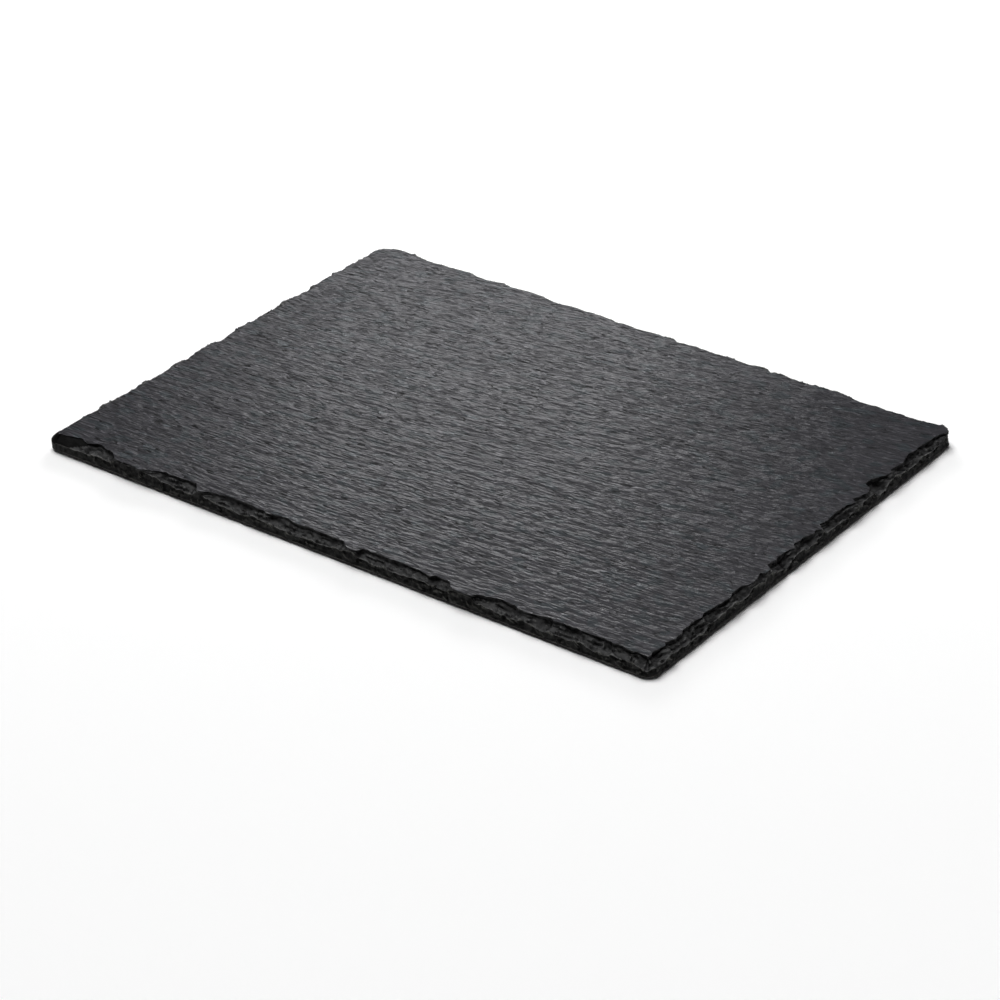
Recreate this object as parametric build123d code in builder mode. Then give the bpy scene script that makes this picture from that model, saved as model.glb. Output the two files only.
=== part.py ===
"""Slate serving board: one stone slab with flaked upper edges, on four stuck-on feet.

Millimetres. The origin is on the table under the middle of the board.
+X runs along the length, +Y towards the back and +Z up.
"""

import os
from math import hypot

from build123d import *

# Slab
board_length = 400.0
board_width = 300.0
slab_thickness = 9.0
corner_radius = 7.0
arris_width = 0.8

# Feet, each a soft pad on a disc of double-sided tape
foot_diameter = 20.0
foot_height = 0.8
sole_radius = 0.3
foot_setback = 34.0
tape_thickness = 0.2
tape_margin = 1.0

# Flakes struck off the upper edges of the slab: how much longer a scar is than its share of
# the edge, and the share of the slab's thickness it falls for each millimetre it reaches in
flake_overlap = 1.6
flake_fall = 0.05

# One row for each flake: where it starts and ends, in percent of its edge's length, and how
# many millimetres it reaches in over the face. The edges are walked anticlockwise from above.
front_flakes = [
    (0, 4.5, 6.5), (4.5, 11.5, 8.5), (18, 25, 6.8), (28.5, 33, 6.4), (33, 38, 6.3), (38, 43, 6.9),
    (43, 51, 5.6), (54, 58, 5.9), (58, 61.5, 6.2), (61.5, 65, 5.8), (65, 69, 6), (73, 79, 7.1),
    (79, 84, 7.6), (84, 88, 7.2), (88, 92, 7.4), (92, 96, 7), (96, 100, 6.5),
]
right_flakes = [
    (0, 4, 6.5), (4, 8, 7.2), (8, 12, 6.6), (12, 15.5, 6.4), (15.5, 19.5, 6.6), (19.5, 26, 6.8),
    (26.5, 30.5, 5.6), (34, 38, 4.8), (38, 42.5, 6.2), (42.5, 47, 6.2), (47, 52.5, 6), (56, 60, 5.8),
    (60, 64.5, 5.5), (64.5, 69, 5.6), (71, 78, 9), (79, 84, 5.4), (84, 90, 6.8), (90, 95.5, 6),
    (95.5, 100, 6.2),
]
back_flakes = [
    (0, 4, 6), (4, 8, 6), (8, 11.5, 6.6), (11.5, 17, 6.5), (20.5, 26.5, 5.7), (26.5, 31, 6.1),
    (31, 36, 5.4), (36, 41, 5.1), (41, 47, 7), (49, 53, 6.1), (53, 58, 6), (58, 63, 6.4),
    (63, 69.5, 7.5), (72, 76, 6.3), (76, 82, 7.6), (82, 86, 6.8), (86, 92, 7), (92, 96, 6.4),
    (96, 100, 6.8),
]
left_flakes = [
    (0, 4.5, 6), (4.5, 9, 5.9), (9, 14.5, 6.1), (14.5, 19, 6), (19, 24, 5.2), (24, 33, 7),
    (33.5, 39, 6.5), (39, 43.5, 6), (43.5, 48, 6.6), (51, 60, 6.3), (61, 67, 5.6), (67, 71.5, 5.7),
    (71.5, 76, 5.5), (76, 80.5, 5.7), (80.5, 86.5, 5.7), (86.5, 91.5, 5.9), (91.5, 96, 5.2),
    (96, 100, 5.8),
]

# Heights that stack up from the table
slab_bottom = foot_height + tape_thickness
slab_top = slab_bottom + slab_thickness

# Each upper edge has a plane: X runs along the edge, Y into the board and Z up
half_length = board_length / 2
half_width = board_width / 2
edges = [
    ((-half_length, -half_width), (1, 0, 0), board_length, front_flakes),
    ((half_length, -half_width), (0, 1, 0), board_width, right_flakes),
    ((half_length, half_width), (-1, 0, 0), board_length, back_flakes),
    ((-half_length, half_width), (0, -1, 0), board_width, left_flakes),
]


def flake_sphere(length, reach, fall):
    """Outset, rise and radius of the sphere that leaves a flake's scar.

    It passes through both ends of the scar on the edge, its furthest point on the face and
    its lowest point on the side.
    """
    outset = ((length / 2) ** 2 - reach**2) / (2 * reach)
    rise = ((length / 2) ** 2 - fall**2) / (2 * fall)
    return outset, rise, hypot(reach + outset, rise)


# Slab
with BuildPart() as slab:
    with BuildSketch(Plane.XY.offset(slab_bottom)):
        RectangleRounded(board_length, board_width, corner_radius)
    extrude(amount=slab_thickness)
    chamfer(slab.faces().sort_by(Axis.Z)[0].edges(), arris_width)
    scars = []
    for corner, direction, edge_length, flakes in edges:
        with Locations(Plane((*corner, slab_top), x_dir=direction)):
            for start, end, reach in flakes:
                middle = (start + end) / 200 * edge_length
                length = (end - start) / 100 * edge_length * flake_overlap
                fall = reach * flake_fall * slab_thickness
                outset, rise, radius = flake_sphere(length, reach, fall)
                with Locations((middle, -outset, rise)):
                    scars.append(Sphere(radius, mode=Mode.PRIVATE))
    add(scars, mode=Mode.SUBTRACT)
slab.part.label = "slate_slab"

# Feet, one near each corner
corners = {
    "front_left": (-1, -1),
    "front_right": (1, -1),
    "back_right": (1, 1),
    "back_left": (-1, 1),
}
foot_x = half_length - foot_setback
foot_y = half_width - foot_setback
pieces = [slab.part]
for corner, (side_x, side_y) in corners.items():
    foot_centre = (side_x * foot_x, side_y * foot_y)

    with BuildPart() as foot:
        with BuildSketch():
            with Locations(foot_centre):
                Circle(foot_diameter / 2)
        extrude(amount=foot_height)
        fillet(foot.faces().sort_by(Axis.Z)[0].edges(), sole_radius)
    foot.part.label = f"foot_{corner}"

    with BuildPart() as tape:
        with BuildSketch(Plane.XY.offset(foot_height)):
            with Locations(foot_centre):
                Circle(foot_diameter / 2 - tape_margin)
        extrude(amount=tape_thickness)
    tape.part.label = f"tape_disc_{corner}"

    pieces += [foot.part, tape.part]

os.makedirs("parts", exist_ok=True)
for piece in pieces:
    export_step(piece, f"parts/{piece.label}.step")
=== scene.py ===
"""Looks of the slate serving board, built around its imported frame.

Metres. The origin is on the table under the middle of the board.
+X runs along the length, +Y towards the back and +Z up.
"""

import math

import bmesh
import bpy
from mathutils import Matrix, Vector, kdtree, noise
from mathutils.geometry import delaunay_2d_cdt


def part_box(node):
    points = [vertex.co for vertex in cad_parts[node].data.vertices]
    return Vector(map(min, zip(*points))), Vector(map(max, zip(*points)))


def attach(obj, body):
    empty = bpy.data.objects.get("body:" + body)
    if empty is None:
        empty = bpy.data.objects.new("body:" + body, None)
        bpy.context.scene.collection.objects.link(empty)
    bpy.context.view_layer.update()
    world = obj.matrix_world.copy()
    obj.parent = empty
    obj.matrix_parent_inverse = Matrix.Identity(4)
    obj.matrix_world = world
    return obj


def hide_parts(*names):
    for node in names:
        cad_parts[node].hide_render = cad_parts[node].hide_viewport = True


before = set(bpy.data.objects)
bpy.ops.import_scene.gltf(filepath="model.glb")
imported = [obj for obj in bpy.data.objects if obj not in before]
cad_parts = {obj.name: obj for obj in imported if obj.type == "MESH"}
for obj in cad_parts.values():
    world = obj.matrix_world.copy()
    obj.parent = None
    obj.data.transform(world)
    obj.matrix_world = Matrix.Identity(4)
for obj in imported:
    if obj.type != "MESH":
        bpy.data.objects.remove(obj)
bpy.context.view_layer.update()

mm = 0.001
slab_low, slab_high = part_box("slate_slab")
half_length = slab_high.x
half_width = slab_high.y
slab_bottom = slab_low.z
slab_top = slab_high.z
thickness = slab_top - slab_bottom

# Rim of the serving face: how far along its edge each bend lies and how far in from the slab's
# side, in millimetres. The edges are walked anticlockwise from above.
front_rim = [
    (0, 4.0), (12, 5.4), (20, 7.6), (26, 5.0), (33, 8.8), (38, 6.7), (44, 5.9), (49, 1.6), (52, 0.6),
    (60, 0.9), (68, 0.5), (71, 1.8), (76, 3.8), (82, 6.0), (85, 5.5), (95, 6.8), (103, 6.6), (106, 3.0),
    (108, 0.8), (112, 2.8), (117, 4.6), (127, 6.2), (140, 6.2), (146, 5.3), (151, 5.4), (153, 4.4),
    (158, 5.3), (165, 6.9), (170, 5.6), (183, 6.0), (190, 5.4), (204, 5.3), (208, 2.0), (212, 0.6),
    (215, 1.6), (217, 5.4), (230, 5.8), (234, 5.3), (242, 6.3), (252, 5.6), (258, 4.6), (261, 3.7),
    (263, 5.9), (272, 5.8), (276, 2.0), (278, 0.6), (286, 0.5), (289, 1.0), (291, 4.0), (296, 5.2),
    (302, 6.9), (313, 6.8), (316, 5.0), (319, 4.5), (328, 5.6), (334, 7.6), (337, 5.9), (340, 6.8),
    (350, 7.2), (355, 6.2), (366, 7.6), (373, 6.6), (378, 7.1), (383, 5.8), (387, 6.7), (400, 6.2),
]
right_rim = [
    (0, 6.2), (9, 6.4), (11, 7.2), (20, 5.3), (22, 7.2), (28, 4.4), (30, 5.8), (34, 5.0), (37, 6.5),
    (42, 6.1), (45, 6.8), (53, 5.1), (56, 6.7), (70, 4.8), (77, 3.8), (80, 5.2), (85, 5.7), (90, 5.3),
    (92, 3.0), (99, 2.5), (106, 4.8), (108, 2.5), (112, 2.4), (115, 6.2), (122, 4.9), (126, 6.3),
    (135, 4.7), (137, 3.4), (140, 5.9), (151, 5.5), (156, 3.5), (160, 4.4), (162, 1.8), (166, 5.9),
    (172, 4.9), (181, 5.5), (191, 4.8), (194, 3.3), (197, 2.5), (199, 5.8), (204, 3.9), (209, 2.5),
    (214, 4.0), (217, 9.0), (223, 8.8), (227, 6.8), (231, 4.6), (236, 3.8), (238, 5.5), (249, 4.0),
    (258, 6.8), (264, 5.4), (270, 6.0), (276, 5.2), (284, 4.6), (292, 3.0), (300, 1.6),
]
back_rim = [
    (0, 2.4), (12, 3.2), (20, 4.8), (30, 5.3), (36, 4.7), (42, 5.2), (48, 4.4), (54, 5.6), (60, 5.4),
    (66, 3.6), (72, 3.0), (84, 3.6), (96, 4.8), (108, 3.8), (114, 5.0), (120, 5.2), (126, 2.9), (132, 4.0),
    (138, 3.9), (144, 3.1), (156, 4.2), (162, 4.2), (168, 3.3), (174, 4.1), (180, 5.1), (186, 3.7),
    (195, 3.2), (204, 4.2), (210, 4.5), (216, 3.8), (222, 4.6), (234, 3.0), (240, 3.7), (246, 4.0),
    (252, 3.1), (258, 3.9), (264, 5.3), (270, 4.6), (276, 3.0), (285, 2.2), (294, 3.2), (300, 3.6),
    (306, 2.3), (312, 3.6), (318, 4.8), (324, 4.4), (330, 3.0), (342, 3.5), (348, 3.6), (354, 4.6),
    (366, 4.9), (372, 3.4), (378, 2.3), (385, 2.8), (392, 4.4), (400, 5.2),
]
left_rim = [
    (0, 5.2), (14, 4.3), (20, 5.4), (26, 5.5), (32, 5.2), (38, 4.4), (44, 5.3), (50, 4.3), (62, 3.9),
    (68, 4.7), (74, 6.3), (80, 6.1), (86, 5.1), (92, 4.1), (98, 5.0), (104, 6.3), (110, 5.3), (128, 5.2),
    (134, 4.4), (146, 4.4), (152, 5.2), (158, 6.0), (164, 4.9), (170, 4.3), (180, 4.5), (188, 5.2),
    (200, 5.5), (218, 4.9), (224, 5.7), (236, 4.7), (248, 5.4), (254, 4.7), (260, 5.6), (272, 4.1),
    (278, 5.2), (288, 4.6), (300, 4.0),
]

# Radius of the corner that each edge starts from and, after it, ends in
corner_radii = [7 * mm, 7 * mm, 9 * mm, 11 * mm, 7 * mm]

# Each edge: its starting corner, its direction, its length and its rim
edges = [
    (Vector((-half_length, -half_width)), Vector((1, 0)), 2 * half_length, front_rim),
    (Vector((half_length, -half_width)), Vector((0, 1)), 2 * half_width, right_rim),
    (Vector((half_length, half_width)), Vector((-1, 0)), 2 * half_length, back_rim),
    (Vector((-half_length, half_width)), Vector((0, -1)), 2 * half_width, left_rim),
]

# Stations along the sides, and rows of faces in the scarp, the scar, the band and the arris
station_step = 0.8 * mm
corner_steps = 14
row_counts = [4, 8, 8, 1]
scarp_rows = row_counts[0]
flaked_rows = scarp_rows + row_counts[1]

# Flaked sides, from the rim down: a steep scarp, a hollow scar, a crumbled band and an arris
usual_rim = 5.6 * mm
smallest_rim = 0.25 * mm
rim_jag = 0.45 * mm
largest_share = 1.25
scarp_height = 1.9 * mm
smallest_scarp = 0.3 * mm
scarp_undercut = 0.06
scar_fall = 1.6 * mm
smallest_fall_share = 0.25
scar_hollow = 1.5
lip_inset = 0.7 * mm
lip_rim_share = 0.6
lowest_lip = 6.0 * mm
band_inset = 0.15 * mm
band_set_in = 0.4 * mm
band_fade = 1.6 * mm
arris_width = 0.35 * mm
arris_height = 0.4 * mm

# Smooth nose at the front left corner, in place of the scarp and the scar
nose_reach = 36 * mm
nose_fade = 0.7
nose_fall = 4.4 * mm
nose_hollow = 0.75
# How much of the nose takes its nearly black material, painted shade: from the top rows down, deeper where
# the nose's share is larger
nose_top_share = 0.2
nose_row_share = 0.04

# Waves along the edges: their strength, their length and where in the noise they are read
rim_waves = [(1, 3.6 * mm, (0, 0)), (0.5, 1.5 * mm, (0, 9))]
scarp_waves = [(1.1, 14 * mm, (3, 0)), (0.4, 5 * mm, (5, 0))]

# Facets of broken stone: their strength, their width, their height and their seed
scarp_facets = [(0.16 * mm, 3 * mm, 1.2 * mm, 1.5)]
scar_facets = [(0.8 * mm, 9 * mm, 2.2 * mm, 2.5), (0.4 * mm, 3.2 * mm, 1.3 * mm, 3.5)]
fall_facets = [(0.5, 17 * mm, mm, 4.5)]
band_facets = [(0.75 * mm, 5 * mm, 2.6 * mm, 5.5), (0.3 * mm, 2.2 * mm, 1.3 * mm, 6.5)]
lip_facets = [(0.8, 9 * mm, mm, 7.5)]
facet_step = 1.4
facet_scatter = 91.7

# Middle of the noises that run from 0 to 1
noise_middle = 0.5

# Riven relief of the two faces, with sizes along and across the grain
grain_turn = 0.11
grain_turn_along = 0.05
grain_turn_across = 0.483
top_step = (2.2 * mm, 1.0 * mm)
underside_step = (5.0 * mm, 3.5 * mm)
rim_clearance = 0.7 * mm
merge_distance = 1e-7
relief_height = 0.3 * mm
relief_depth = 1.5 * mm
relief_sink = 0.6
swell_size = (30 * mm, 11 * mm)
swell_share = 0.6
wrinkle_size = (9 * mm, 2.6 * mm)
wrinkle_hollow = 0.3
shift_along = 4 * mm
shift_along_size = (17 * mm, 8 * mm)
shift_along_seed = 3
shift_across = 1.5 * mm
shift_across_size = (13 * mm, 7 * mm)
shift_across_seed = 7
strength_change = 0.7
strength_size = (50 * mm, 35 * mm)
strength_seed = 23
top_wrinkle_seed = 0.0
top_swell_seed = 17.0
underside_seed = 31.0
sharp_angle = math.radians(32)

# Underside: shallow hollows, and none where the feet are stuck on
hollow_height = 0.5 * mm
foot_margin = 8 * mm
foot_radius = 10 * mm
foot_corners = ["front_left", "front_right", "back_right", "back_left"]
foot_centres = []
for corner in foot_corners:
    foot_low, foot_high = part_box("foot_" + corner)
    foot_centres.append((foot_low.xy + foot_high.xy) / 2)

# Material slots of the slab's sides. Its two faces have the first slot.
flaked_slot = 1
crumbled_slot = 2
# The nose's slot holds a nearly black material: painted shade over the smooth nose
nose_shade_slot = 3


def new_object(name, data):
    made = bpy.data.objects.new(name, data)
    bpy.context.scene.collection.objects.link(made)
    return made


def rim_inset(rim, distance):
    """How far in the rim lies, at a distance along its edge."""
    for (start, inset), (end, next_inset) in zip(rim, rim[1:]):
        if distance <= end * mm:
            share = (distance / mm - start) / (end - start)
            return (inset + (next_inset - inset) * share) * mm
    return rim[-1][1] * mm


def stations():
    """Places round the slab's outline: the point, the way in, the way walked so far and the rim."""
    places = []
    walked = 0.0
    for (corner, along, length, rim), start, end in zip(edges, corner_radii, corner_radii[1:]):
        inward = Vector((-along.y, along.x))
        straight = length - start - end
        count = round(straight / station_step)
        for i in range(count):
            distance = start + straight * i / count
            point = corner + along * distance
            places.append((point, inward, walked + distance, rim_inset(rim, distance)))
        centre = corner + along * (length - end) + inward * end
        for i in range(corner_steps):
            angle = i / corner_steps * math.pi / 2
            way_in = inward * math.cos(angle) - along * math.sin(angle)
            turned = 2 * end * i / corner_steps
            point = centre - way_in * end
            places.append((point, way_in, walked + length - end + turned, rim[-1][1] * mm))
        walked += length
    return places


def ripple(walk, waves):
    """Waves along an edge, added up."""
    return sum(strength * noise.noise((walk / length, *place)) for strength, length, place in waves)


def facets(across, down, kinds):
    """Flat facets, each set in or out and tilted in its own way, added up."""
    total = 0.0
    for strength, width, height, seed in kinds:
        place = Vector((across / width, down / height, seed))
        centre = noise.voronoi(place)[1][0]
        turn = noise.cell_vector(centre * facet_scatter)
        away = place - centre
        step = (turn.x - noise_middle) * facet_step
        tilt_across = (turn.y - noise_middle) * away.x
        tilt_down = (turn.z - noise_middle) * away.y
        total += strength * (step + tilt_across + tilt_down)
    return total


def nose_share(walk):
    """How much of the side is a smooth nose: all of it at the front left corner."""
    whole = sum(length for _, _, length, _ in edges)
    nearest = min(walk, whole - walk)
    return max(0.0, 1 - nearest / nose_reach) ** nose_fade


def edge_rows(walk, rim):
    """The flaked side at one station, from the rim down: how far in and how deep each row lies."""
    rim = max(rim + rim_jag * ripple(walk, rim_waves), smallest_rim)
    share = min(largest_share, rim / usual_rim)
    nose = nose_share(walk)
    scarp = scarp_height * share * (1 + ripple(walk, scarp_waves))
    scarp = max(scarp, smallest_scarp * share) * (1 - nose)
    fall_share = smallest_fall_share + (1 - smallest_fall_share) * share
    fall = scarp + scar_fall * fall_share * (1 + facets(walk, 0, fall_facets))
    fall = min(fall, lowest_lip) * (1 - nose) + nose_fall * nose
    lip = min(lip_inset * (1 + facets(walk, 0, lip_facets)), lip_rim_share * rim) * (1 - nose)
    hollows = [1, scar_hollow * (1 - nose) + nose_hollow * nose, 1, 1]
    bends = [
        (rim, 0),
        (rim + scarp_undercut * scarp, scarp),
        (lip, fall),
        (band_inset, thickness - arris_height),
        (arris_width, thickness),
    ]
    rows = []
    for bend, next_bend, count, hollow in zip(bends, bends[1:], row_counts, hollows):
        inset, depth = bend
        next_inset, next_depth = next_bend
        for i in range(count):
            part = i / count
            sunk = 1 - (1 - part) ** hollow
            rows.append((inset + (next_inset - inset) * part, depth + (next_depth - depth) * sunk))
    rows.append(bends[-1])
    return rows


def crumbled(walk, rows):
    """The rows with the facets of broken stone cut into them."""
    made = [rows[0]]
    down = 0.0
    roughness = 1 - nose_share(walk)
    for number in range(1, len(rows)):
        inset, depth = rows[number]
        last_inset, last_depth = rows[number - 1]
        run = Vector((last_inset - inset, depth - last_depth))
        down += run.length
        face = Vector((run.y, run.x)).normalized()
        if number <= scarp_rows:
            push = facets(walk, down, scarp_facets)
        elif number <= flaked_rows:
            push = facets(walk, down, scar_facets) * roughness
        else:
            push = facets(walk, down, band_facets) - band_set_in
            push *= min(1.0, (thickness - depth) / band_fade) * roughness
        made.append((inset - push * face.x, depth - push * face.y))
    return made


def grain(x, y):
    """Coordinates along and across the riven grain, which turns more towards the back."""
    across = y - x * (grain_turn + grain_turn_along / 2 * x + grain_turn_across * y)
    return x + grain_turn * y, across


def grain_noise(along, across, size, seed):
    """Noise from -1 to 1 whose lumps have this size along and across the grain."""
    return noise.noise((along / size[0], across / size[1], seed))


def swells(x, y, seed):
    """Broad swells of a riven face, from -1 to 1."""
    along, across = grain(x, y)
    return grain_noise(along, across, swell_size, seed)


def wrinkles(x, y, seed):
    """Wrinkles of a riven face, stronger in some places than in others, from about -1 to 1."""
    along, across = grain(x, y)
    along += shift_along * grain_noise(along, across, shift_along_size, seed + shift_along_seed)
    across += shift_across * grain_noise(along, across, shift_across_size, seed + shift_across_seed)
    wrinkle = grain_noise(along, across, wrinkle_size, seed)
    strength = 1 + strength_change * grain_noise(along, across, strength_size, seed + strength_seed)
    return strength * (wrinkle - wrinkle_hollow * abs(wrinkle))


def fill(work, loop, step, height, up):
    """Fills a loop with triangles over a grid of points."""
    near = kdtree.KDTree(len(loop))
    for i, corner in enumerate(loop):
        near.insert((corner.co.x, corner.co.y, 0), i)
    near.balance()
    points = [corner.co.xy for corner in loop]
    for row in range(1, round(2 * half_width / step[1])):
        for column in range(1, round(2 * half_length / step[0])):
            x = (column + (row % 2) / 2) * step[0] - half_length
            y = row * step[1] - half_width
            if near.find((x, y, 0))[2] > rim_clearance:
                points.append(Vector((x, y)))
    borders = [(i, (i + 1) % len(loop)) for i in range(len(loop))]
    inside_only = 1
    flat, _, triangles, origins, _, _ = delaunay_2d_cdt(points, borders, [], inside_only, merge_distance)
    made = []
    for point, origin in zip(flat, origins):
        old = next((i for i in origin if i < len(loop)), None)
        made.append(loop[old] if old is not None else work.verts.new((point.x, point.y, height)))
    for triangle in triangles:
        work.faces.new([made[i] for i in (triangle if up else reversed(triangle))])


def slate_slab():
    """The slab: flaked sides between a riven face above and a riven face below."""
    work = bmesh.new()
    rings = []
    noses = []
    for point, inward, walk, rim in stations():
        ring = []
        for inset, depth in crumbled(walk, edge_rows(walk, rim)):
            place = point + inward * inset
            ring.append(work.verts.new((place.x, place.y, slab_top - depth)))
        rings.append(ring)
        noses.append(nose_share(walk))
    # Faces of the nose get its nearly black material, painted shade, from the top rows down as far as the
    # nose's share reaches
    for ring, following, nose in zip(rings, rings[1:] + rings[:1], noses):
        for row in range(len(ring) - 1):
            side = work.faces.new((ring[row], ring[row + 1], following[row + 1], following[row]))
            if row >= flaked_rows:
                side.material_index = crumbled_slot
            elif nose > nose_top_share + nose_row_share * row:
                side.material_index = nose_shade_slot
            else:
                side.material_index = flaked_slot
    fill(work, [ring[0] for ring in rings], top_step, slab_top, True)
    fill(work, [ring[-1] for ring in rings], underside_step, slab_bottom, False)
    for vertex in work.verts:
        x, y, z = vertex.co
        weight = max(0.0, 1 - (slab_top - z) / relief_depth)
        if weight > 0:
            relief = wrinkles(x, y, top_wrinkle_seed) + swell_share * swells(x, y, top_swell_seed)
            vertex.co.z += weight * relief_height * (relief - relief_sink)
        elif z < slab_bottom + arris_height / 2:
            clear = min((vertex.co.xy - foot).length for foot in foot_centres) - foot_radius
            hollow = min(1.0, max(0.0, clear / foot_margin)) * (1 + swells(x, y, underside_seed)) / 2
            vertex.co.z += hollow_height * hollow
    mesh = bpy.data.meshes.new("slab")
    work.to_mesh(mesh)
    work.free()
    mesh.polygons.foreach_set("use_smooth", [True] * len(mesh.polygons))
    mesh.set_sharp_from_angle(angle=sharp_angle)
    return new_object("slab", mesh)


slab = slate_slab()

# Riven slate: thin layers and fine wrinkles, with sizes along and across the grain. Its colour holds
# painted relief light and shade: each layer dark along one edge and light along the other, each
# wrinkle dark in its crease and light on its crest. This painted light and shade gets more even
# towards the right end, away from the highlight.
waver_size = (18 * mm, 9 * mm)
waver_detail = 1
waver_shift = (4 * mm, 1.8 * mm, 0)
layer_size = (40 * mm, 5 * mm)
layer_detail = 2.5
layer_crispness = 0.6
layer_count = 6
# Tones of each layer from its dark edge to its light edge: painted shade and painted light of the layer's
# step, over the slate's own dark grey
layer_tones_and_painted_relief = [
    (0, (0.002, 0.002, 0.002)),
    (0.15, (0.020, 0.020, 0.0225)),
    (0.6, (0.037, 0.037, 0.0415)),
    (0.9, (0.047, 0.047, 0.0525)),
    (1, (0.088, 0.088, 0.0985)),
]
fine_wrinkle_size = (5 * mm, 1.7 * mm)
fine_wrinkle_detail = 1.4
fine_wrinkle_height = 0.48
fine_wrinkle_painted_relief = 0.62
riven_bump = 0.9 * mm
# Even tone that the painted relief light and shade fades to at the right end, and how far it fades
even_tone = (0.034, 0.034, 0.038, 1)
most_painted_relief_fade = 0.3
patch_size = (11 * mm, 8 * mm)
patch_detail = 1
patch_casts = [(0.56, (1.02, 1, 1)), (0.62, (0.89, 1, 0.99))]
dark_edge = 0.25
dark_edge_roughness = 0.65
layer_roughness = 0.23
riven_shine = 0.035
riven_shine_tint = (0.9, 0.9, 1, 1)

# Broken slate and speckled plain materials
grit_detail = 4
grit_bump = 0.6 * mm
# Pointiness at which a facet's crest takes its painted highlight
crest_highlight_stops = [(0.51, (0, 0, 0)), (0.57, (1, 1, 1))]
speckle_detail = 3
speckle_bump = 0.1 * mm


def node(tree, kind, inputs=None, **settings):
    """Adds a node, with its settings, and sets or links its inputs."""
    made = tree.nodes.new(kind)
    for name, value in settings.items():
        setattr(made, name, value)
    for key, value in (inputs or {}).items():
        if isinstance(value, bpy.types.NodeSocket):
            tree.links.new(value, made.inputs[key])
        else:
            made.inputs[key].default_value = value
    return made


def math_node(tree, operation, *values):
    made = node(tree, "ShaderNodeMath", dict(enumerate(values)), operation=operation)
    return made.outputs[0]


def mix(tree, factor, first, second, blend="MIX"):
    """Blends two colours."""
    inputs = {0: factor, 6: first, 7: second}
    made = node(tree, "ShaderNodeMix", inputs, data_type="RGBA", blend_type=blend)
    return made.outputs[2]


def ramp(tree, value, stops):
    """Colours along a value, one stop for each (position, colour)."""
    made = node(tree, "ShaderNodeValToRGB", {"Fac": value})
    colours = made.color_ramp.elements
    while len(colours) < len(stops):
        colours.new(0.5)
    for element, (position, colour) in zip(colours, stops):
        element.position = position
        element.color = (*colour, 1)
    return made.outputs["Color"]


def stretched_noise(tree, place, size, detail, crispness=0.5):
    """Noise whose lumps have this size along and across the grain."""
    along, across = size
    scale = (1 / along, 1 / across, 1 / across)
    sized = node(tree, "ShaderNodeMapping", {"Vector": place, "Scale": scale})
    inputs = {"Vector": sized.outputs[0], "Scale": 1, "Detail": detail, "Roughness": crispness}
    return node(tree, "ShaderNodeTexNoise", inputs)


def object_place(tree):
    return node(tree, "ShaderNodeTexCoord").outputs["Object"]


def new_material(name):
    material = bpy.data.materials.new(name)
    material.use_nodes = True
    return material, material.node_tree, material.node_tree.nodes["Principled BSDF"]


def grain_place(tree):
    """Coordinates along and across the riven grain, as the relief has them, with a slow waver."""
    x, y, z = node(tree, "ShaderNodeSeparateXYZ", {0: object_place(tree)}).outputs
    bend = math_node(tree, "MULTIPLY_ADD", x, grain_turn_along / 2, grain_turn)
    bend = math_node(tree, "MULTIPLY_ADD", y, grain_turn_across, bend)
    across = math_node(tree, "SUBTRACT", y, math_node(tree, "MULTIPLY", x, bend))
    along = math_node(tree, "MULTIPLY_ADD", y, grain_turn, x)
    straight = node(tree, "ShaderNodeCombineXYZ", {0: along, 1: across, 2: z}).outputs[0]
    waver = stretched_noise(tree, straight, waver_size, waver_detail).outputs["Color"]
    inputs = {0: waver, 1: waver_shift, 2: straight}
    return node(tree, "ShaderNodeVectorMath", inputs, operation="MULTIPLY_ADD").outputs[0]


def riven_material():
    """Split slate: thin layers and fine wrinkles, with painted relief light and shade, each layer dark
    along one edge and light along the other.
    """
    material, tree, shader = new_material("riven_slate")
    place = grain_place(tree)
    depth = stretched_noise(tree, place, layer_size, layer_detail, layer_crispness).outputs["Fac"]
    layer = math_node(tree, "FRACT", math_node(tree, "MULTIPLY", depth, layer_count))
    wrinkle = stretched_noise(tree, place, fine_wrinkle_size, fine_wrinkle_detail).outputs["Fac"]
    patch = stretched_noise(tree, place, patch_size, patch_detail).outputs["Fac"]

    layer_height = math_node(tree, "DIVIDE", layer, layer_count)
    height = math_node(tree, "MULTIPLY_ADD", wrinkle, fine_wrinkle_height, layer_height)
    bump = node(tree, "ShaderNodeBump", {"Height": height, "Distance": riven_bump})

    # Painted shade in the wrinkles' creases and painted light on their crests, added to the layers' painted
    # relief
    crease = math_node(tree, "SUBTRACT", wrinkle, noise_middle)
    shade = math_node(tree, "MULTIPLY_ADD", crease, fine_wrinkle_painted_relief, layer)
    # The painted relief light and shade fades towards an even tone at the right end
    along = node(tree, "ShaderNodeSeparateXYZ", {0: place}).outputs[0]
    rightwards = {"Value": along, "From Max": half_length, "To Max": most_painted_relief_fade}
    painted_relief_fade = node(tree, "ShaderNodeMapRange", rightwards).outputs[0]
    tone = mix(tree, painted_relief_fade, ramp(tree, shade, layer_tones_and_painted_relief), even_tone)
    colour = mix(tree, 1, tone, ramp(tree, patch, patch_casts), "MULTIPLY")
    edge = {"Value": shade, "From Max": dark_edge, "To Min": dark_edge_roughness, "To Max": layer_roughness}
    roughness = node(tree, "ShaderNodeMapRange", edge)

    tree.links.new(colour, shader.inputs["Base Color"])
    tree.links.new(roughness.outputs[0], shader.inputs["Roughness"])
    tree.links.new(bump.outputs[0], shader.inputs["Normal"])
    shader.inputs["Specular IOR Level"].default_value = riven_shine
    shader.inputs["Specular Tint"].default_value = riven_shine_tint
    return material


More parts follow.
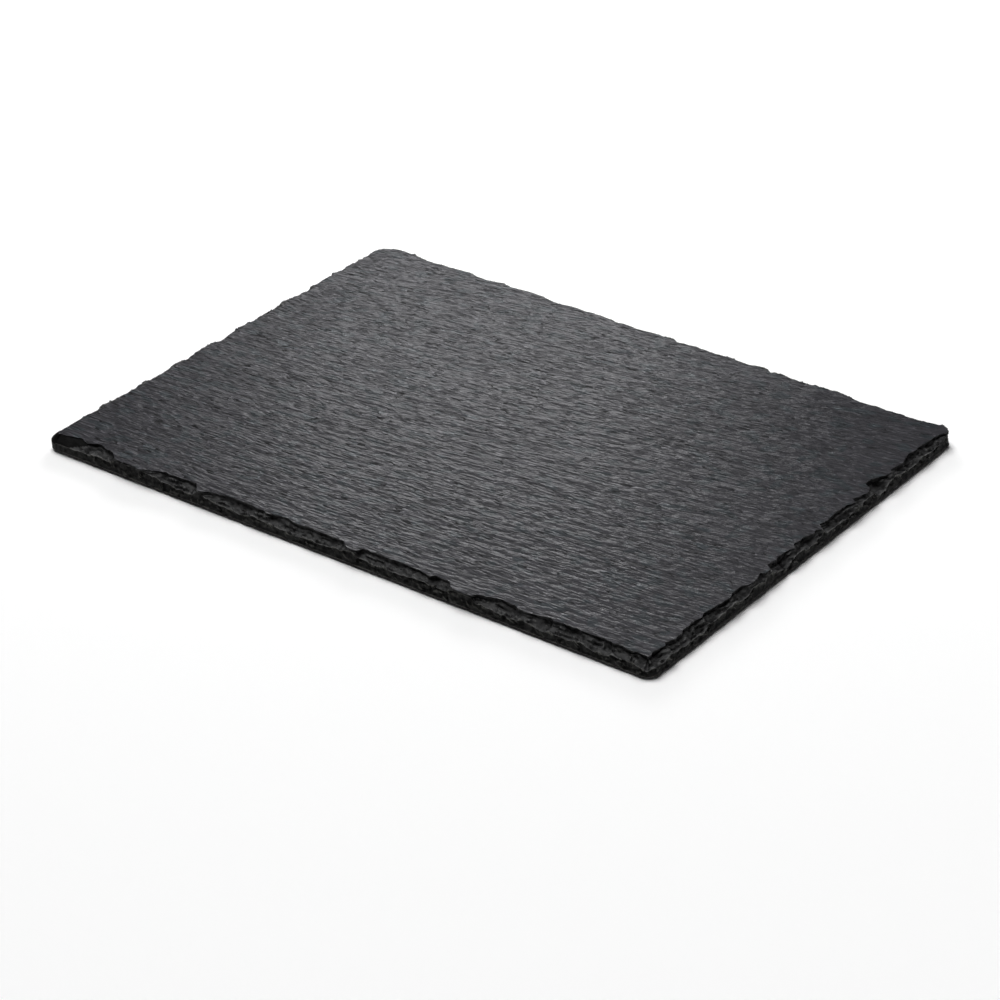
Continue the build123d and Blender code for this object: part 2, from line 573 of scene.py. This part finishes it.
def broken_material(name, tones, crest_highlight_colour, grit_scale, roughness, shine):
    """Broken slate: uneven tones, with a painted highlight along the sharp crests of its facets."""
    material, tree, shader = new_material(name)
    inputs = {"Vector": object_place(tree), "Scale": grit_scale, "Detail": grit_detail}
    grit = node(tree, "ShaderNodeTexNoise", inputs).outputs["Fac"]
    # Painted highlight: a lighter colour on the pointy crests, where the facets' edges would catch the
    # light
    crest_sharpness = node(tree, "ShaderNodeNewGeometry").outputs["Pointiness"]
    crest_highlight_mask = ramp(tree, crest_sharpness, crest_highlight_stops)
    colour = mix(tree, crest_highlight_mask, ramp(tree, grit, tones), (*crest_highlight_colour, 1))
    bump = node(tree, "ShaderNodeBump", {"Height": grit, "Distance": grit_bump})
    tree.links.new(colour, shader.inputs["Base Color"])
    tree.links.new(bump.outputs[0], shader.inputs["Normal"])
    shader.inputs["Roughness"].default_value = roughness
    shader.inputs["Specular IOR Level"].default_value = shine
    return material


def speckled_material(name, tones, speckle_scale, roughness):
    """A moulded or milky plain material with fine speckles."""
    material, tree, shader = new_material(name)
    inputs = {"Vector": object_place(tree), "Scale": speckle_scale, "Detail": speckle_detail}
    speckle = node(tree, "ShaderNodeTexNoise", inputs).outputs["Fac"]
    bump = node(tree, "ShaderNodeBump", {"Height": speckle, "Distance": speckle_bump})
    tree.links.new(ramp(tree, speckle, tones), shader.inputs["Base Color"])
    tree.links.new(bump.outputs[0], shader.inputs["Normal"])
    shader.inputs["Roughness"].default_value = roughness
    return material


# The slab's materials, in the order of its slots
slab_materials = [
    riven_material(),
    broken_material(
        "flaked_slate",
        tones=[(0.35, (0.002, 0.002, 0.002)), (0.7, (0.034, 0.034, 0.035))],
        crest_highlight_colour=(0.08, 0.08, 0.08),
        grit_scale=300,
        roughness=0.5,
        shine=0.12,
    ),
    broken_material(
        "crumbled_slate",
        tones=[(0.4, (0.003, 0.003, 0.003)), (0.65, (0.026, 0.026, 0.025))],
        crest_highlight_colour=(0.1, 0.1, 0.092),
        grit_scale=420,
        roughness=0.65,
        shine=0.08,
    ),
    # Nearly black: painted shade over the smooth nose at the front left corner, whose upper part faces up
    # and would catch the overhead light
    broken_material(
        "nose_slate_painted_shade",
        tones=[(0.35, (0.002, 0.002, 0.002)), (0.7, (0.006, 0.006, 0.006))],
        crest_highlight_colour=(0.007, 0.007, 0.007),
        grit_scale=300,
        roughness=0.5,
        shine=0.02,
    ),
]
for material in slab_materials:
    slab.data.materials.append(material)

# Feet and tape discs keep their solids
foot_rubber = speckled_material(
    "foot_rubber",
    tones=[(0.3, (0.003, 0.003, 0.003)), (0.7, (0.008, 0.008, 0.008))],
    speckle_scale=1500,
    roughness=0.8,
)
tape = speckled_material(
    "tape",
    tones=[(0.3, (0.55, 0.55, 0.52)), (0.7, (0.7, 0.7, 0.66))],
    speckle_scale=900,
    roughness=0.5,
)
for corner in foot_corners:
    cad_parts["foot_" + corner].material_slots[0].material = foot_rubber
    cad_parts["tape_disc_" + corner].material_slots[0].material = tape

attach(slab, "root")
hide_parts("slate_slab")

# Camera, as the photograph's perspective gives it
camera_azimuth = math.radians(36.11)
camera_elevation = math.radians(29.94)
camera_distance = 1.8244
camera_target = Vector((0.0367, -0.0520, 0.0025))
camera_data = bpy.data.cameras.new("camera")
camera_data.sensor_width = 36
camera_data.lens = 123.08
camera = new_object("camera", camera_data)
back = Vector((
    math.sin(camera_azimuth) * math.cos(camera_elevation),
    -math.cos(camera_azimuth) * math.cos(camera_elevation),
    math.sin(camera_elevation),
))
camera.location = camera_target + camera_distance * back
camera.rotation_euler = (-back).to_track_quat("-Z", "Y").to_euler()
bpy.context.scene.camera = camera

# Floor
floor_reach = 5
floor_white = (0.995, 0.995, 0.995, 1)
floor_corners = [(x * floor_reach, y * floor_reach, 0) for x, y in ((-1, -1), (1, -1), (1, 1), (-1, 1))]
floor_mesh = bpy.data.meshes.new("floor")
floor_mesh.from_pydata(floor_corners, [], [(0, 1, 2, 3)])
floor = new_object("floor", floor_mesh)
floor_material, _, floor_shader = new_material("floor")
floor_shader.inputs["Base Color"].default_value = floor_white
floor_shader.inputs["Roughness"].default_value = 1.0
floor_shader.inputs["Specular IOR Level"].default_value = 0
floor_mesh.materials.append(floor_material)

# Light: a white dome, brightest overhead and to the left, and two low soft boxes behind the board,
# one within the other so that their reflection in the slate fades out at its ends
brightest = (-0.366, 0.161, 0.917)
dome_levels = {"From Min": 0.872, "From Max": 0.956, "To Min": 0.04, "To Max": 5.8}
world = bpy.data.worlds.new("world")
bpy.context.scene.world = world
world.use_nodes = True
sky_tree = world.node_tree
way = node(sky_tree, "ShaderNodeTexCoord").outputs["Generated"]
towards = node(sky_tree, "ShaderNodeVectorMath", {0: way, 1: brightest}, operation="DOT_PRODUCT")
dome_levels["Value"] = towards.outputs["Value"]
level = node(sky_tree, "ShaderNodeMapRange", dome_levels, interpolation_type="SMOOTHSTEP")
sky = sky_tree.nodes["Background"]
sky.inputs["Color"].default_value = (1, 1, 1, 1)
sky_tree.links.new(level.outputs["Result"], sky.inputs["Strength"])

box_place = Vector((-0.4, 0.55, 0.29))
box_height = 0.16
box_aim = (-box_place).to_track_quat("-Z", "Y").to_euler()
for name, width, power in (("inner_box", 0.29, 1.6), ("outer_box", 0.5, 1.2)):
    box_data = bpy.data.lights.new(name, "AREA")
    box_data.shape = "RECTANGLE"
    box_data.size = width
    box_data.size_y = box_height
    box_data.energy = power
    soft_box = new_object(name, box_data)
    soft_box.location = box_place
    soft_box.rotation_euler = box_aim
    soft_box.visible_camera = False

bpy.context.scene.view_settings.view_transform = "Standard"
